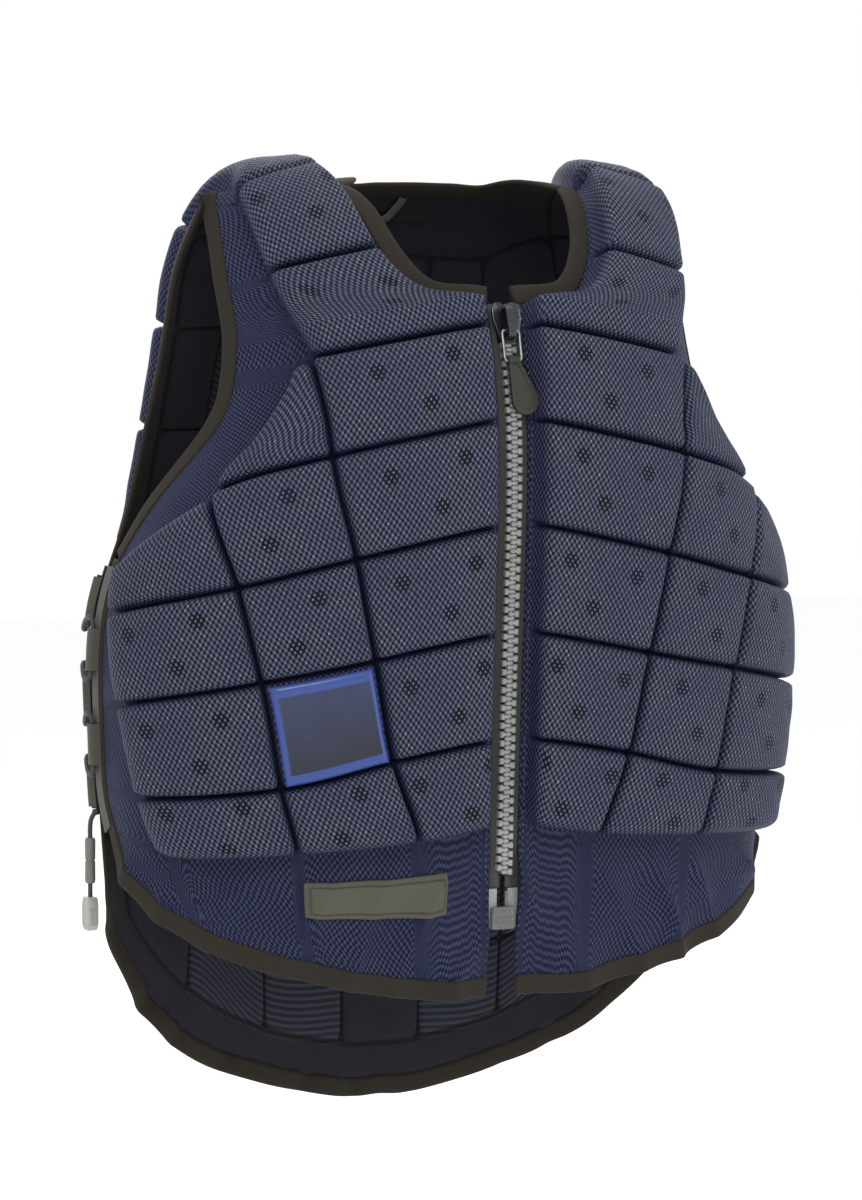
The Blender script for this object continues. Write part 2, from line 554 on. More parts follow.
class Cover:
    # the shape of one panel's net over its foam: lift above the form, fold and pattern at every lattice point

    def __init__(self, plan, rowSpans, colSpans, step, rowFixed, colFixed, blocks, edges, folds, sunk=()):
        self.plan = plan
        self.rows, self.rowMarks = lattice(plan, rowSpans, step, "rows", rowFixed)
        self.cols, self.colMarks = lattice(plan, colSpans, step, "cols", colFixed)
        self.turn, self.root = plan.at(self.rows, self.cols)
        self.base = formPoint(self.turn, self.root)
        self.normal = formNormal(self.turn, self.root)
        self.across, self.down = runs(self.base)
        self.lift = np.full(self.turn.shape, float(relief["flange"]))
        self.padded = np.zeros(self.turn.shape)
        self.region = np.full((len(self.rows) - 1, len(self.cols) - 1), -1)
        self.blocks = []
        self.fold = self.folds(*folds)
        self.bulge, self.crease = np.zeros(self.turn.shape), np.zeros(self.turn.shape)
        for block in blocks:
            self.raiseBlock(block, blocks, edges, block in sunk)
        self.acrossTop, self.downTop = runs(self.surface(self.lift))

    def folds(self, start, phase):
        # soft folds of the unpadded net below the blocks, with sharper slanting ridges between them
        i = int(np.searchsorted(self.rows, start))
        below = np.maximum(self.down - self.down[i], 0)
        side = self.across - self.across[:, -1:] / 2
        wave = 0.5 + 0.5 * np.sin((side + 0.3 * below) * tau / relief["foldPitch"] + phase)
        saw = ((side * 0.85 - below * 0.6) / relief["ridgePitch"]
               + 0.22 * np.sin(side / relief["ridgeWaver"] + phase) + phase)
        ridge = (1 - np.abs(2 * (saw - np.floor(saw)) - 1)) ** relief["ridgePower"]
        ridge = ridge * smooth(below / relief["ridgeReach"]) * (0.6 + 0.4 * wave)
        return relief["fold"] * smooth(below / relief["foldReach"]) * wave + relief["ridge"] * ridge

    def raiseBlock(self, block, blocks, edges, isSunk):
        a, b, c, d = block
        i0, i1, j0, j1 = self.rowMarks[a], self.rowMarks[b], self.colMarks[c], self.colMarks[d]
        part = (slice(i0, i1 + 1), slice(j0, j1 + 1))
        u, v = self.across[part], self.down[part]
        gaps = [u - u[:, :1], u[:, -1:] - u, v - v[:1], v[-1:] - v]
        beside = [o for o in blocks if max(a, o[0]) < min(b, o[1])]
        stacked = [o for o in blocks if max(c, o[2]) < min(d, o[3])]
        shared = [any(o[3] == c for o in beside), any(o[2] == d for o in beside),
                  any(o[1] == a for o in stacked), any(o[0] == b for o in stacked)]
        margins, rises = [], []
        border = np.full(u.shape, np.inf)
        crease = np.zeros(u.shape)
        for side, isShared in enumerate(shared):
            margin, rise = (relief["seamMargin"], relief["rise"]) if isShared else edges.get(
                (side, (c, d, a, b)[side]), (relief["endMargin"], relief["endRise"]))
            margins.append(margin)
            rises.append(rise)
            if isShared:
                crease = np.maximum(crease, 1 - smooth(gaps[side] / relief["creaseWide"]))
            else:
                border = np.minimum(border, gaps[side] - margin + relief["borderShift"])
        crease *= smooth(border / relief["creaseEnd"])
        x, y = (np.minimum((gaps[k] - margins[k]) / rises[k], (gaps[k + 1] - margins[k + 1]) / rises[k + 1])
                for k in (0, 2))
        r = relief["corner"]
        rounded = r - np.hypot(r - np.minimum(x, r), r - np.minimum(y, r))
        t = np.clip(np.where((x < r) & (y < r), rounded, np.minimum(x, y)), 0, 1)
        rise = (1 - (1 - t) ** relief["power"]) ** (1 / relief["power"])
        low = relief["flange"]
        base = low + (relief["groove"] - low) * smooth(border / relief["borderRise"])
        sx = 2 * gaps[0] / (gaps[0] + gaps[1]) - 1
        sy = 2 * gaps[2] / (gaps[2] + gaps[3]) - 1
        number = len(self.blocks)
        waver = (np.sin(u / 7.3 + number * 1.7) * np.sin(v / 8.9 + number * 2.3)
                 + 0.6 * np.sin(u / 3.9 - v / 4.4 + number))
        crown = relief["crown"] * (1 - sx ** 2) * (1 - sy ** 2)
        if isSunk:
            top = relief["top"] - relief["sunk"] + crown * relief["sunkCrown"]
        else:
            top = relief["top"] + crown + relief["waver"] * waver
        self.lift[part] = np.maximum(self.lift[part], base + (top - base) * rise)
        self.padded[part] = 1
        self.crease[part] = np.maximum(self.crease[part], crease)
        self.bulge[part] = np.maximum(self.bulge[part], rise)
        self.region[i0:i1, j0:j1] = number
        self.blocks.append((i0, i1, j0, j1, a, c))

    def surface(self, lift):
        return self.base + self.normal * ((lift + self.fold) * mm)[..., None]

    def sample(self, field, row, col):
        i = np.clip(np.interp(row, self.rows, np.arange(len(self.rows))), 0, len(self.rows) - 1.001)
        j = np.clip(np.interp(col, self.cols, np.arange(len(self.cols))), 0, len(self.cols) - 1.001)
        k, n = int(i), int(j)
        s, t = i - k, j - n
        return ((1 - s) * ((1 - t) * field[k, n] + t * field[k, n + 1])
                + s * ((1 - t) * field[k + 1, n] + t * field[k + 1, n + 1]))

    def at(self, row, col, lift):
        turn, root = self.plan.at([row], [col])
        fold = self.sample(self.fold, row, col)
        point, normal = formPoint(turn, root)[0, 0], formNormal(turn, root)[0, 0]
        return point + normal * (lift + fold) * mm

    def uvs(self):
        # per face corner, in millimetres; on a block from the middle of that block
        out = cornerUvs(self.acrossTop, self.downTop)
        firstVents = ventsFrom[self.plan.name]
        for i0, i1, j0, j1, row, col in self.blocks:
            u, v = self.acrossTop[i0:i1 + 1, j0:j1 + 1], self.downTop[i0:i1 + 1, j0:j1 + 1]
            part = cornerUvs(u - (u[:, :1] + u[:, -1:]) / 2, v - (v[:1] + v[-1:]) / 2)
            if row < firstVents.get(col, 0):
                part[..., 0] += shift["noVents"]
            elif col in threeVents[self.plan.name]:
                part[..., 0] += shift["threeVents"]
            out[i0:i1, j0:j1] = part
        out[self.region < 0, :, :, 0] += shift["flange"]
        return out


def finishMesh(name, bm, material, sharp=None):
    mesh = bpy.data.meshes.new(name)
    bm.to_mesh(mesh)
    bm.free()
    mesh.polygons.foreach_set("use_smooth", np.ones(len(mesh.polygons), bool))
    if sharp:
        mesh.set_sharp_from_angle(angle=math.radians(sharp))
    mesh.materials.append(materials[material])
    obj = link(bpy.data.objects.new(name, mesh))
    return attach(obj, "vest")


def seal(bm):
    # merge doubles, close what is open and turn the faces out
    bmesh.ops.remove_doubles(bm, verts=bm.verts, dist=1e-7)
    openEdges = [e for e in bm.edges if e.is_boundary]
    if openEdges:
        bmesh.ops.holes_fill(bm, edges=openEdges, sides=0)
    bmesh.ops.recalc_face_normals(bm, faces=bm.faces)


def station(bm, points, uvs):
    # a grid of quads laid through rows of points; a tube's last column repeats its first
    rows, cols = points.shape[:2]
    uvLayer = bm.loops.layers.uv.verify()
    made = bmesh.ops.create_grid(bm, x_segments=cols - 1, y_segments=rows - 1, size=1)["verts"]
    spots = {v: (round((v.co.y + 1) / 2 * (rows - 1)), round((v.co.x + 1) / 2 * (cols - 1))) for v in made}
    for v, (i, j) in spots.items():
        v.co = points[i, j]
        for loop in v.link_loops:
            loop[uvLayer].uv = uvs[i, j]


def sweep(bm, centres, rings, loop=False):
    # rings: stations by ring points; a ring closes on itself
    ring = np.concatenate([rings, rings[:, :1]], axis=1)
    if loop:
        ring = np.concatenate([ring, ring[:1]])
        centres = np.concatenate([centres, centres[:1]])
    along = arcOf(centres) / mm
    around = arcOf(ring[len(ring) // 2]) / mm
    station(bm, ring, np.stack(np.meshgrid(along, around, indexing="ij"), -1))


def sweptPiece(name, centres, rings, material):
    bm = bmesh.new()
    sweep(bm, centres, rings)
    seal(bm)
    return finishMesh(name, bm, material)


def closedSheet(name, outer, inner, uvs, fields, material):
    # two grids of points joined round their rims; the fields are values at the points of the outer one
    rows, cols = outer.shape[:2]
    count = rows * cols
    bm = bmesh.new()
    layers = {key: bm.verts.layers.float.new(key) for key in fields}
    uvLayer = bm.loops.layers.uv.new("UVMap")
    for z in (0, -0.1):
        bmesh.ops.create_grid(bm, x_segments=cols - 1, y_segments=rows - 1, size=1,
                              matrix=Matrix.Translation((0, 0, z)))
    bm.verts.ensure_lookup_table()
    bm.verts.index_update()
    top = [e for e in bm.edges if e.is_boundary]
    for face in bm.faces:
        where = [divmod(v.index % count, cols) for v in face.verts]
        i, j = min(w[0] for w in where), min(w[1] for w in where)
        for loop, (a, b) in zip(face.loops, where):
            loop[uvLayer].uv = uvs[i, j, a - i, b - j]
    bmesh.ops.bridge_loops(bm, edges=top)
    bm.verts.ensure_lookup_table()
    flat = np.concatenate([outer.reshape(-1, 3), inner.reshape(-1, 3)])
    for k, v in enumerate(bm.verts):
        v.co = flat[k]
    for key, layer in layers.items():
        values = fields[key].ravel()
        for k in range(count):
            bm.verts[k][layer] = values[k]
    bmesh.ops.recalc_face_normals(bm, faces=bm.faces)
    return finishMesh(name, bm, material)


def cornerUvs(across, down):
    size = (across.shape[0] - 1, across.shape[1] - 1)
    out = np.zeros(size + (2, 2, 2))
    for di in (0, 1):
        for dj in (0, 1):
            out[:, :, di, dj, 0] = across[di:size[0] + di, dj:size[1] + dj]
            out[:, :, di, dj, 1] = down[di:size[0] + di, dj:size[1] + dj]
    return out


def flipped(points, side):
    return points * np.array([side, 1, 1])


def sizeOf(grid):
    # width, height and area of a sheet's surface
    wide = np.linalg.norm(np.diff(grid, axis=1), axis=2)
    high = np.linalg.norm(np.diff(grid, axis=0), axis=2)
    area = float((wide[:-1] * high[:, :-1]).sum())
    return float(wide.sum(1).max()), float(high.sum(0).max()), area


def ringAround(points, radius, count=10):
    side = np.array([1.0, 0, 0])
    rings = []
    for p, r in zip(points, unit(np.gradient(points, axis=0))):
        side = unit(side - r * side.dot(r))
        angles = (np.arange(count) * tau / count)[:, None]
        rings.append(p + radius * mm * (np.cos(angles) * side + np.sin(angles) * np.cross(r, side)))
    return np.array(rings)


def throughPoints(points, step):
    arc = arcOf(points)
    w = weights(len(points), np.interp(np.arange(0, arc[-1], step * mm), arc, np.arange(len(points))))
    return np.concatenate([w @ points, points[-1:]])


def prism(bm, outline, low, high):
    # an outline in x and y, in millimetres, made a solid from low to high
    verts = [bm.verts.new((x * mm, y * mm, low * mm)) for x, y in outline]
    raised = bmesh.ops.extrude_face_region(bm, geom=[bm.faces.new(verts)])["geom"]
    top = [g for g in raised if isinstance(g, bmesh.types.BMVert)]
    bmesh.ops.translate(bm, vec=(0, 0, high * mm - low * mm), verts=top)
    openEdges = [e for v in verts for e in v.link_edges if e.is_boundary]
    if openEdges:
        bmesh.ops.holes_fill(bm, edges=openEdges, sides=0)
    bmesh.ops.recalc_face_normals(bm, faces=bm.faces)


def roundEdges(bm, edges, size, segments=2):
    bmesh.ops.bevel(bm, geom=edges, offset=size * mm, segments=segments, affect="EDGES", profile=0.5,
                    material=-1, clamp_overlap=True)


def addBlock(bm, place, size, bevel, segments=2):
    made = bmesh.ops.create_cube(bm, size=1, matrix=Matrix.Translation([c * mm for c in place])
                                 @ Matrix.Diagonal([c * mm for c in size] + [1]))
    roundEdges(bm, list({e for v in made["verts"] for e in v.link_edges}), bevel, segments)


def dish(bm, sign, area, width, depth):
    # sink the wide faces that look along z, leaving a rim
    faces = [f for f in bm.faces if f.normal.z * sign > 0.95 and f.calc_area() > area]
    bmesh.ops.inset_region(bm, faces=faces, thickness=width * mm, depth=-depth * mm)


def turned(points, axis, steps):
    # a closed outline turned right round an axis through the origin
    bm = bmesh.new()
    verts = [bm.verts.new(p) for p in points]
    for a, c in zip(verts, verts[1:] + verts[:1]):
        bm.edges.new((a, c))
    bmesh.ops.spin(bm, geom=list(bm.verts) + list(bm.edges), cent=(0, 0, 0), axis=axis, angle=tau,
                   steps=steps, use_merge=True)
    seal(bm)
    return bm


# Net over the foam blocks, and the linings

# rows or lines between seams, with the margins before their fine lines; None has no fine lines
frontRowSpans = [(0, 2, (2.2, 0)), (2, 5, (0, 0)), (5, 8, (0, 0)), (8, 9, (0, 0)), (9, 10, (0, 0)),
                 (10, 11, (0, 0)), (11, 12, (0, 2.2)), (12, 14, None)]
frontColSpans = [(0, 1, (6, 0)), (1, 2, (0, 0)), (2, 3, (0, 2.2)), (3, 4, None)]
backRowSpans = [(0, 2, (2.2, 0)), (2, 3, (0, 0)), (3, 4, (0, 0)), (4, 6, (0, 0))]
backRowSpans += [(k, k + 1, (0, 0)) for k in range(6, 11)] + [(11, 12, (0, 2.2)), (12, 13, None)]
backColSpans = [(0, 1, None), (1, 2, (2.2, 0)), (2, 3, (0, 0)), (3, 4, (0, 0)), (4, 6, (0, 0)),
                (6, 7, (0, 0)), (7, 8, (0, 0)), (8, 9, (0, 2.2)), (9, 10, None)]
# an outer edge of the pads, (side, line or row): how far the foam stays from it and how far it takes to rise
frontEdges = {(0, 0): (relief["edgeMargin"], 5), (1, 3): (0, relief["sideRise"]), (2, 0): (0.4, 5)}
backEdges = {(0, 1): (0, relief["sideRise"]), (1, 9): (0, relief["sideRise"]), (2, 0): (0.4, 5)}


def frontCover(phase, sunk=()):
    return Cover(plans["front"], frontRowSpans, frontColSpans, step=2.5, rowFixed=1, colFixed=9,
                 blocks=frontBlocks, edges=frontEdges, folds=(12, phase), sunk=sunk)


covers = {
    1: frontCover(0.4),
    -1: frontCover(2.1, sunk=((10, 11, 1, 2),)),  # the block under the window is lower
    0: Cover(plans["back"], backRowSpans, backColSpans, step=3.4, rowFixed=6.6, colFixed=8, blocks=backBlocks,
             edges=backEdges, folds=(12, 1.2)),
}
liningPiece = dict(thick=0.7, stride=3, cordShare=0.31, ribbedRow=3, ribbedLines=((2, 4), (6, 8)))


def makeCover(cover, side, name, nodes):
    outer = flipped(cover.surface(cover.lift), side or 1)
    inner = flipped(cover.surface(np.full(cover.lift.shape, relief["inner"])), side or 1)
    lift = (cover.lift - relief["flange"]) / (relief["top"] - relief["flange"])
    obj = closedSheet(name, outer, inner, cover.uvs(), dict(lift=lift, crease=cover.crease), "net")
    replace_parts(obj, *nodes)
    return obj


def makeLining(cover, side, name):
    def pick(count, marks):
        # every third line of the lattice, and all of them beside a seam
        near = {m + k for m in marks.values() for k in range(-3, 4)}
        return [k for k in range(count) if k % liningPiece["stride"] == 0 or k in near or k == count - 1]

    grid = np.ix_(pick(len(cover.rows), cover.rowMarks), pick(len(cover.cols), cover.colMarks))
    outer = flipped(cover.surface(np.full(cover.lift.shape, liningPiece["thick"]))[grid], side or 1)
    inner = flipped(cover.surface(-relief["innerBulge"] * cover.bulge)[grid], side or 1)
    ribbed = np.zeros(cover.lift.shape)
    for low, high in liningPiece["ribbedLines"] if side == 0 else ():
        ribbed[cover.rowMarks[liningPiece["ribbedRow"]]:, cover.colMarks[low]:cover.colMarks[high] + 1] = 1
    fields = dict(bulge=np.maximum(cover.bulge, 1 - cover.padded)[grid], ribbed=(ribbed * cover.padded)[grid])
    uvs = cornerUvs(cover.across[grid], cover.down[grid])
    obj = closedSheet(name, inner, outer, uvs, fields, "lining")
    return obj


for side, word in sides:
    cover = covers[side]
    nodes = [f"{n}_{word}" for n in ("front_panel", "pad_inner", "pad_middle", "pad_side")]
    makeCover(cover, side, f"frontCover.{word}", nodes)
    makeLining(cover, side, f"frontLining.{word}")
padNodes = [f"{n}_{word}" for _, word in sides
            for n in ("shoulder_pad", "back_pad_side", "back_pad_middle", "back_pad_inner")]
makeCover(covers[0], 0, "backCover", ["back_panel", "back_pad_centre"] + padNodes)
makeLining(covers[0], 0, "backLining")
print("covers and linings")

# Bound edges

# the section's points are (outwards along the cloth, up from it)
bindingPiece = dict(step=2.2, blur=5, section=[
    (-0.5, 2.45), (-0.2, 2.95), (0.6, 3.15), (2.6, 3.0), (6, 2.95), (9.6, 2.75), (10.9, 2.2), (11.4, 1.2),
    (10.9, 0.2), (9.6, -0.4), (6, -0.6), (2.4, -0.65), (-0.4, -0.6), (-0.7, 0.8)])


def planLine(plan, rows, cols, fold=None):
    rows, cols = np.broadcast_arrays(np.asarray(rows, float), np.asarray(cols, float))
    points, normals = [], []
    for r, c in zip(rows, cols):
        turn, root = plan.at([r], [c])
        points.append(formPoint(turn, root)[0, 0])
        normals.append(formNormal(turn, root)[0, 0])
    points, normals = np.array(points), np.array(normals)
    if fold is not None:
        lift = np.array([fold.sample(fold.fold, r, c) for r, c in zip(rows, cols)])
        points = points + normals * lift[:, None] * mm
    return points, normals


def joinLines(*lines):
    return np.concatenate([p for p, _ in lines]), np.concatenate([n for _, n in lines])


def along(places, arc, values):
    return np.stack([np.interp(places, arc, values[:, k]) for k in range(3)], 1)


def evenly(points, normals, step):
    keep = [0] + [k for k in range(1, len(points)) if np.linalg.norm(points[k] - points[k - 1]) > 1e-6]
    points, normals = points[keep], normals[keep]
    arc = arcOf(points)
    places = np.linspace(0, arc[-1], max(3, round(arc[-1] / mm / step)))
    return along(places, arc, points), unit(along(places, arc, normals))


def waysOut(points, normals, sign, blur):
    # away from the edge along the cloth, evened out round its corners
    out = unit(np.cross(np.gradient(points, axis=0), normals) * sign)
    padded = np.pad(out, ((blur, blur), (0, 0)), mode="edge")
    window = np.hanning(2 * blur + 3)[1:-1]
    out = np.stack([np.convolve(padded[:, k], window, "valid") for k in range(3)], 1)
    return unit(out - normals * (out * normals).sum(1, keepdims=True))


def ringsOf(points, normals, out, section):
    # a section of (outwards, up) in millimetres at every station
    stations = zip(points, normals, out)
    return np.array([[p + o * e * mm + n * d * mm for e, d in section] for p, n, o in stations])


def makeBinding(name, line, sign, side=1, section=bindingPiece["section"]):
    points, normals = evenly(*line, bindingPiece["step"])
    rings = ringsOf(points, normals, waysOut(points, normals, sign, bindingPiece["blur"]), section)
    return sweptPiece(name, flipped(points, side), flipped(rings, side), "binding")


def dense(low, high, count=160):
    return np.linspace(low, high, count)


front, back = plans["front"], plans["back"]
neckHalf = planLine(front, dense(0, 4, 60), 0)
neckOther = [flipped(part, -1)[::-1] for part in neckHalf]
neckLine = joinLines(neckOther, planLine(back, 0, dense(2, 8, 120)), neckHalf)
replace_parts(makeBinding("neckBinding", neckLine, 1), "neck_binding")
backLine = joinLines(planLine(back, dense(6, 13), 0, covers[0]), planLine(back, 13, dense(0, 10), covers[0]),
                     planLine(back, dense(13, 6), 10, covers[0]))
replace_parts(makeBinding("backBinding", backLine, -1), "back_binding")
armLine = joinLines(planLine(front, dense(8, 0), 4), planLine(back, dense(0, 6), 10))
for side, word in sides:
    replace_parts(makeBinding(f"armholeBinding.{word}", armLine, 1, side), f"armhole_binding_{word}")
    cover = covers[side]
    frontLine = joinLines(planLine(front, dense(8, 14), 4, cover), planLine(front, 14, dense(4, 0), cover))
    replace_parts(makeBinding(f"frontBinding.{word}", frontLine, -1, side), f"front_binding_{word}")
print("bindings")

# Gussets behind the lacing

gussetPiece = dict(high=-1.3, thick=1.4, reach=0.45, across=17, down=70, ripple=0.5, bandLower=3.1,
                   bandThin=0.85, top=(5, 12), foot=(1, 16))


def gussetLine(t):
    # points and normals straight across, from behind the front panel to behind the back panel
    reach = gussetPiece["reach"]
    spots = [(front, 8 + t, 4 - reach), (front, 8 + t, 4), (back, 6 + t, 10), (back, 6 + t, 10 - reach)]
    pairs = [planLine(plan, [r], [c]) for plan, r, c in spots]
    w = weights(4, np.linspace(0, 3, gussetPiece["across"]))
    return w @ np.array([p[0] for p, _ in pairs]), unit(w @ np.array([n[0] for _, n in pairs]))


lines = [gussetLine(t) for t in np.linspace(0, 4, gussetPiece["down"])]
gussetPoints, gussetNormals = (np.array(part) for part in zip(*lines))
gussetAcross, gussetDown = runs(gussetPoints)
ripple = np.sin(gussetDown / 9.0 + gussetAcross / 30) + np.sin(gussetAcross / 6.5) - 1
gussetLift = gussetPiece["high"] + gussetPiece["ripple"] * ripple
gussetUvs = cornerUvs(gussetAcross, gussetDown)
gussetUvs[..., 0] += shift["flange"]
bandThin, bandLower = gussetPiece["bandThin"], gussetPiece["bandLower"]
bandSection = [(e, d * bandThin - bandLower) for e, d in bindingPiece["section"]]


def gussetSheet(lift, side):
    return flipped(gussetPoints + gussetNormals * (lift * mm)[..., None], side)


def gussetBand(name, row, which, sign, side):
    low, high = gussetPiece[which]
    return makeBinding(name, (gussetPoints[row, low:high], gussetNormals[row, low:high]), sign, side,
                       bandSection)


for side, word in sides:
    outer = gussetSheet(gussetLift, side)
    obj = closedSheet(f"sideGusset.{word}", outer, gussetSheet(gussetLift - gussetPiece["thick"], side),
                      gussetUvs, {}, "net")
    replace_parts(obj, f"side_gusset_{word}")
    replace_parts(gussetBand(f"gussetBinding.{word}", 0, "top", -1, side), f"gusset_binding_{word}")
    gussetBand(f"gussetHem.{word}", -1, "foot", 1, side)
print("gussets")

# Zip: tapes, teeth, slider, ring, tab and the stop at its foot

# drops are shares of the body's length; tape is the outline of the left tape's section, (across, up)
zipPiece = dict(top=0.137, teethTop=0.1658, teethEnd=0.746, pitch=5.2, toothLong=2.5, toothLow=1.9,
                toothHigh=5.1, toothRound=0.55, stitchAt=11.6, stitchHigh=3.0, stitchPitch=3.9,
                stitchSize=(0.55, 1.15, 0.4),
                tape=[(2.0, 0.45), (10.4, 0.45), (10.6, 0.925), (10.4, 1.4), (5.2, 1.4), (4.7, 1.9),
                      (3.2, 1.9), (2.7, 1.4), (2.0, 1.4), (1.8, 0.925)])


def zipFrame(drop):
    # x across, y up along the front's centre line, z outwards
    turn, root = np.array([0.0]), -np.sqrt(np.array([drop]))
    n = Vector(formNormal(turn, root)[0])
    x = Vector((1, 0, 0))
    axes = Matrix((x, n.cross(x).normalized(), n)).transposed().to_4x4()
    return Matrix.Translation(Vector(formPoint(turn, root)[0])) @ axes


drops = np.linspace(zipPiece["top"], zipPiece["teethEnd"], 150)
centre, root = np.zeros(len(drops)), -np.sqrt(drops)
zipCentres, zipNormals = formPoint(centre, root), formNormal(centre, root)
for side, word in sides:
    rings = ringsOf(zipCentres, zipNormals, np.tile([side, 0, 0], (len(drops), 1)), zipPiece["tape"])
    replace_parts(sweptPiece(f"zipTape.{word}", zipCentres, rings, "zipTape"), f"zip_tape_{word}")


def toothShape():
    # one moulded tooth: a flat foot on the tape's cord and a rounded head past the centre line
    bm = bmesh.new()
    low, high, half = zipPiece["toothLow"], zipPiece["toothHigh"], zipPiece["toothLong"] / 2
    outline = [(4.9, -1.75), (4.9, 1.75), (2.6, 1.85), (1.7, half * 0.7), (0.9, half), (-1.3, half),
               (-2.0, half * 0.5), (-2.0, -half * 0.5), (-1.3, -half), (0.9, -half), (1.7, -half * 0.7),
               (2.6, -1.85)]
    prism(bm, outline, low, high)
    rimEdges = [e for e in bm.edges if all(v.co.z > (high - 0.01) * mm for v in e.verts)]
    roundEdges(bm, rimEdges, zipPiece["toothRound"], 1)
    mesh = bpy.data.meshes.new("tooth")
    bm.to_mesh(mesh)
    bm.free()
    return mesh


def addStitch(bm, matrix, size):
    bmesh.ops.create_icosphere(bm, subdivisions=1, radius=1,
                               matrix=matrix @ Matrix.Diagonal([half * mm for half in size] + [1]))


tooth = toothShape()
length = form["length"] / mm
pitch = zipPiece["pitch"] / length
count = int((zipPiece["teethEnd"] - zipPiece["teethTop"]) / pitch) - 1
for side, word in sides:
    bm = bmesh.new()
    for k in range(count):
        drop = zipPiece["teethTop"] + (k + (1.1 if side > 0 else 0.6)) * pitch  # the two rows mesh
        bm.from_mesh(tooth)
        bm.verts.ensure_lookup_table()
        new = bm.verts[-len(tooth.vertices):]
        bmesh.ops.transform(bm, matrix=zipFrame(drop) @ Matrix.Diagonal((side, 1, 1, 1)), verts=new)
    bmesh.ops.recalc_face_normals(bm, faces=bm.faces)
    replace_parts(finishMesh(f"zipTeeth.{word}", bm, "teeth", sharp=50), f"zip_teeth_{word}")
bpy.data.meshes.remove(tooth)

for side, word in sides:
    bm = bmesh.new()
    drop = zipPiece["teethTop"] - 0.02
    while drop < zipPiece["teethEnd"] - 0.006:
        spot = Matrix.Translation((side * zipPiece["stitchAt"] * mm, 0, zipPiece["stitchHigh"] * mm))
        addStitch(bm, zipFrame(drop) @ spot, zipPiece["stitchSize"])
        drop += zipPiece["stitchPitch"] / length
    finishMesh(f"zipStitches.{word}", bm, "thread")

slider = dict(at=zipPiece["teethTop"] - 3 / length, low=5.5, high=7.3, up=13, down=11, wide=9, narrow=6,
              crownWide=2.9, crownThick=1.8, crownHalf=9.6, crownHigh=12.5, crownCorner=2.0, ringTilt=5,
              hingeUp=-4.95, hingeOut=8.9, ringRun=17.5, tabTilt=4)


def bentBar(bm, path, wide, thick):
    # a flat bar bent along a path in y and z
    path = np.array(path, float)
    run = unit(np.gradient(path, axis=0))
    across = np.stack([-run[:, 1], run[:, 0]], 1)
    ring = []
    for p, n in zip(path, across):
        low, high = p - n * thick / 2, p + n * thick / 2
        edge = wide * 0.84
        ring.append([(-edge, *low), (edge, *low), (wide, *p), (edge, *high), (-edge, *high), (-wide, *p)])
    sweep(bm, np.pad(path, ((0, 0), (1, 0))) * mm, np.array(ring) * mm)


def arcPath(half, base, top, corner, steps=5):
    # up from the base, round two corners and down again
    points = [(-half, base)]
    for middle, start in ((corner - half, math.pi), (half - corner, math.pi / 2)):
        for k in range(steps + 1):
            a = start - math.pi / 2 * k / steps
            points.append((middle + corner * math.cos(a), top - corner + corner * math.sin(a)))
    return points + [(half, base)]


def makeSlider():
    s = slider
    w, n, up, down = s["wide"], s["narrow"], s["up"], s["down"]
    outline = [(-w, up - 3.6), (-w, 3), (-w + 0.4, 1), (-n, -down + 1.6), (-n + 1.6, -down),
               (n - 1.6, -down), (n, -down + 1.6), (w - 0.4, 1), (w, 3), (w, up - 3.6), (w - 1.2, up - 0.9),
               (w - 3.4, up), (3.4, up), (1.6, up - 2), (-1.6, up - 2), (-3.4, up), (-w + 3.4, up),
               (-w + 1.2, up - 0.9)]
    bm = bmesh.new()
    prism(bm, outline, s["low"], s["high"])
    roundEdges(bm, list(bm.edges), 0.45)
    dish(bm, 1, 5e-5, 1.5, 0.55)
    for sign in (-1, 1):  # side walls that hold the teeth
        addBlock(bm, (sign * 5.35, -5.0, 3.75), (1.1, 10, 4.0), 0.3, 1)
    addBlock(bm, (0, 7.6, 1.6), (3.2, 6, 8.6), 0.4, 1)  # post
    addBlock(bm, (0, 0.4, -2.1), (12, 20.4, 1.8), 0.4, 1)  # back plate
    crown = arcPath(s["crownHalf"] - s["crownThick"] / 2, s["high"] - 0.6,
                    s["crownHigh"] - s["crownThick"] / 2, s["crownCorner"])
    bentBar(bm, crown, s["crownWide"], s["crownThick"])
    seal(bm)
    bmesh.ops.transform(bm, matrix=zipFrame(s["at"]), verts=bm.verts)
    return finishMesh("zipSlider", bm, "slider", sharp=35)


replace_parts(makeSlider(), "zip_slider")
ringFrame = (zipFrame(slider["at"]) @ Matrix.Translation((0, slider["hingeUp"] * mm, slider["hingeOut"] * mm))
             @ Matrix.Rotation(math.radians(slider["ringTilt"]), 4, "X"))
tabFrame = (ringFrame @ Matrix.Translation((0, -slider["ringRun"] * mm, 0))
            @ Matrix.Rotation(math.radians(slider["tabTilt"]), 4, "X"))
ringPiece = dict(wire=0.95, half=5.35, corner=1.7, steps=6, around=12)


